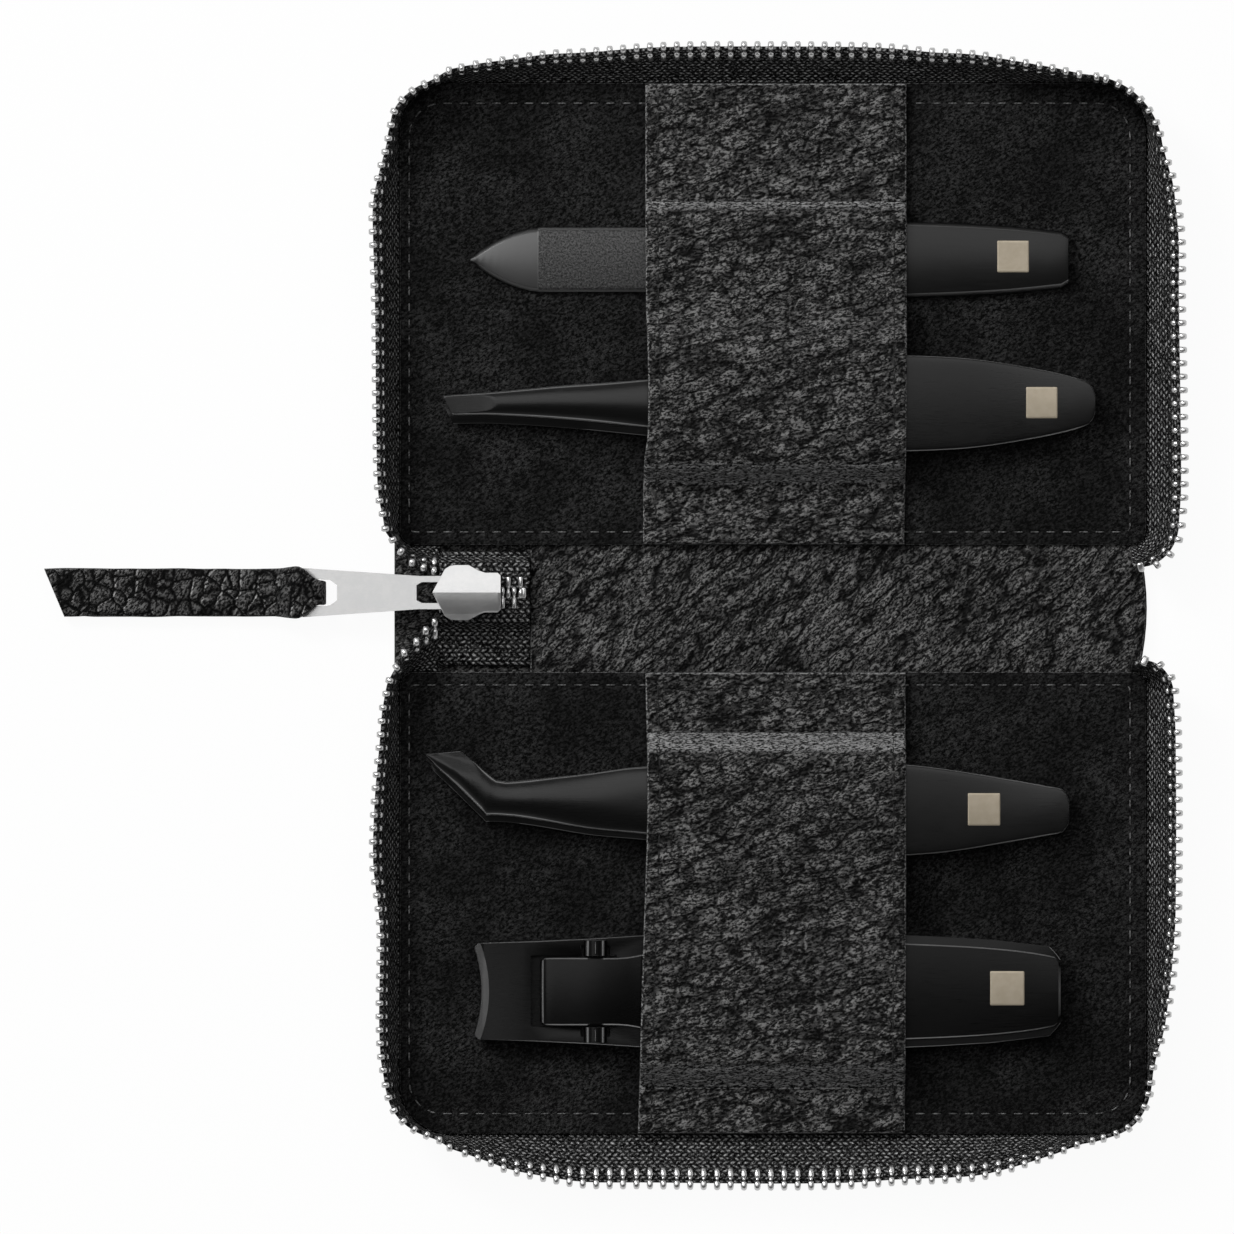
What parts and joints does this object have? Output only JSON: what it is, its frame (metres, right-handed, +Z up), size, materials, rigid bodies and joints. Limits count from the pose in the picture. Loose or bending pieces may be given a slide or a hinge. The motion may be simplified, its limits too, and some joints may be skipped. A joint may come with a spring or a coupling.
{
  "type": "manicure set case",
  "caption": "Zip-round leather case lying open, with a nail file, two pairs of tweezers and a nail clipper held under two leather straps.",
  "frame": {"origin": "middle of the spine, on the underside of the outer leather on which the open case rests", "axes": "+X along the spine, away from the zip slider; +Y towards the leaf with the nail file; +Z up, out of the open case"},
  "size_m": [0.1587, 0.1595, 0.0098],
  "materials": {
    "cover_leather": "pebbled grain, semi-matt",
    "strap_leather": "pebbled grain, semi-matt",
    "spine_leather": "creased grain",
    "tab_leather": "pebbled grain",
    "suede": "brushed suede",
    "board": "pressed fibre board",
    "zip_tape": "woven twill",
    "zip_metal": "polished",
    "slider_metal": "polished",
    "black_steel": "satin brushed black",
    "grit_steel": "fine grit on satin black"
  },
  "bodies": {
    "lower_leaf": {"lower_cover": "cover_leather", "lower_board": "board", "lower_lining": "suede", "lower_strap": "strap_leather", "lower_zip_tape": "zip_tape", "lower_zip_teeth": "zip_metal", "lower_top_stop": "zip_metal"},
    "spine": {"spine_cover": "cover_leather", "spine_lining": "spine_leather", "zip_end_tape": "zip_tape", "joined_teeth": "zip_metal", "bottom_stop": "zip_metal"},
    "upper_leaf": {"upper_cover": "cover_leather", "upper_board": "board", "upper_lining": "suede", "upper_strap": "strap_leather", "upper_zip_tape": "zip_tape", "upper_zip_teeth": "zip_metal", "upper_top_stop": "zip_metal"},
    "slider": {"slider_body": "slider_metal", "slider_cap": "slider_metal"},
    "puller": {"puller": "slider_metal"},
    "pull_tab": {"pull_tab": "tab_leather"},
    "nail_file": {"nail_file": "grit_steel"},
    "tweezers": {"tweezers_lower_arm": "black_steel"},
    "tweezers_top": {"tweezers_upper_arm": "black_steel"},
    "cuticle_tweezers": {"cuticle_lower_arm": "black_steel"},
    "cuticle_top": {"cuticle_upper_arm": "black_steel"},
    "clipper": {"clipper_lower_jaw": "black_steel", "clipper_rear_rivet": "black_steel", "clipper_cross_pin": "black_steel"},
    "clipper_jaw": {"clipper_upper_jaw": "black_steel"},
    "clipper_handle": {"clipper_lever": "black_steel"}
  },
  "joints": [
    {"name": "spine_fold", "type": "hinge", "parent": "lower_leaf", "child": "spine", "pos_m": [0, -0.0082, 0.0018], "axis": [1, 0, 0], "range_deg": [0, 90], "deforming": ["lower_zip_tape", "lower_zip_teeth", "lower_top_stop"]},
    {"name": "cover_fold", "type": "hinge", "parent": "spine", "child": "upper_leaf", "pos_m": [0, 0.0082, 0.0018], "axis": [1, 0, 0], "range_deg": [0, 90], "deforming": ["upper_zip_tape", "upper_zip_teeth", "upper_top_stop"]},
    {"name": "slider_travel", "type": "slide", "parent": "spine", "child": "slider", "axis": [1, 0, 0], "range_m": [0, 0.0025], "deforming": ["zip_end_tape"]},
    {"name": "puller_swing", "type": "hinge", "parent": "slider", "child": "puller", "pos_m": [-0.0451, 0.0022, 0.00685], "axis": [0, -1, 0], "range_deg": [-30, 4]},
    {"name": "tab_swing", "type": "hinge", "parent": "puller", "child": "pull_tab", "pos_m": [-0.06599, 0.0022, 0.0022], "axis": [0, -1, 0], "range_deg": [-90, 0]},
    {"name": "file_draw", "type": "slide", "parent": "upper_leaf", "child": "nail_file", "axis": [-0.9962, 0, -0.0872], "range_m": [-0.07, 0], "deforming": ["upper_zip_tape", "upper_zip_teeth", "upper_strap"]},
    {"name": "tweezers_draw", "type": "slide", "parent": "upper_leaf", "child": "tweezers", "axis": [-0.9962, 0, -0.0872], "range_m": [-0.07, 0], "deforming": ["upper_zip_tape", "upper_zip_teeth", "upper_strap"]},
    {"name": "tweezers_squeeze", "type": "hinge", "parent": "tweezers", "child": "tweezers_top", "pos_m": [0.0356, 0.0284, 0.0052], "axis": [0, 1, 0], "range_deg": [-0.9, 0], "stiffness_Nm_per_rad": 8},
    {"name": "cuticle_draw", "type": "slide", "parent": "lower_leaf", "child": "cuticle_tweezers", "axis": [-0.9962, 0, -0.0872], "range_m": [-0.07, 0], "deforming": ["lower_zip_tape", "lower_zip_teeth", "lower_strap"]},
    {"name": "cuticle_squeeze", "type": "hinge", "parent": "cuticle_tweezers", "child": "cuticle_top", "pos_m": [0.032, -0.028, 0.0052], "axis": [0, 1, 0], "range_deg": [-0.9, 0], "stiffness_Nm_per_rad": 8},
    {"name": "clipper_draw", "type": "slide", "parent": "lower_leaf", "child": "clipper", "axis": [-0.9962, 0, -0.0872], "range_m": [-0.07, 0], "deforming": ["lower_zip_tape", "lower_zip_teeth", "lower_strap"]},
    {"name": "clipper_bite", "type": "hinge", "parent": "clipper", "child": "clipper_jaw", "pos_m": [0.0378, -0.053, 0.0047], "axis": [0, -1, 0], "range_deg": [-0.7, 0]},
    {"name": "lever_lift", "type": "hinge", "parent": "clipper", "child": "clipper_handle", "pos_m": [-0.0246, -0.053, 0.0072], "axis": [0, 1, 0], "range_deg": [-14, 0], "deforming": ["lower_strap"]}
  ],
  "couplings": [
    {"joint": "clipper_bite", "follows": "lever_lift", "ratio": 0.05}
  ]
}
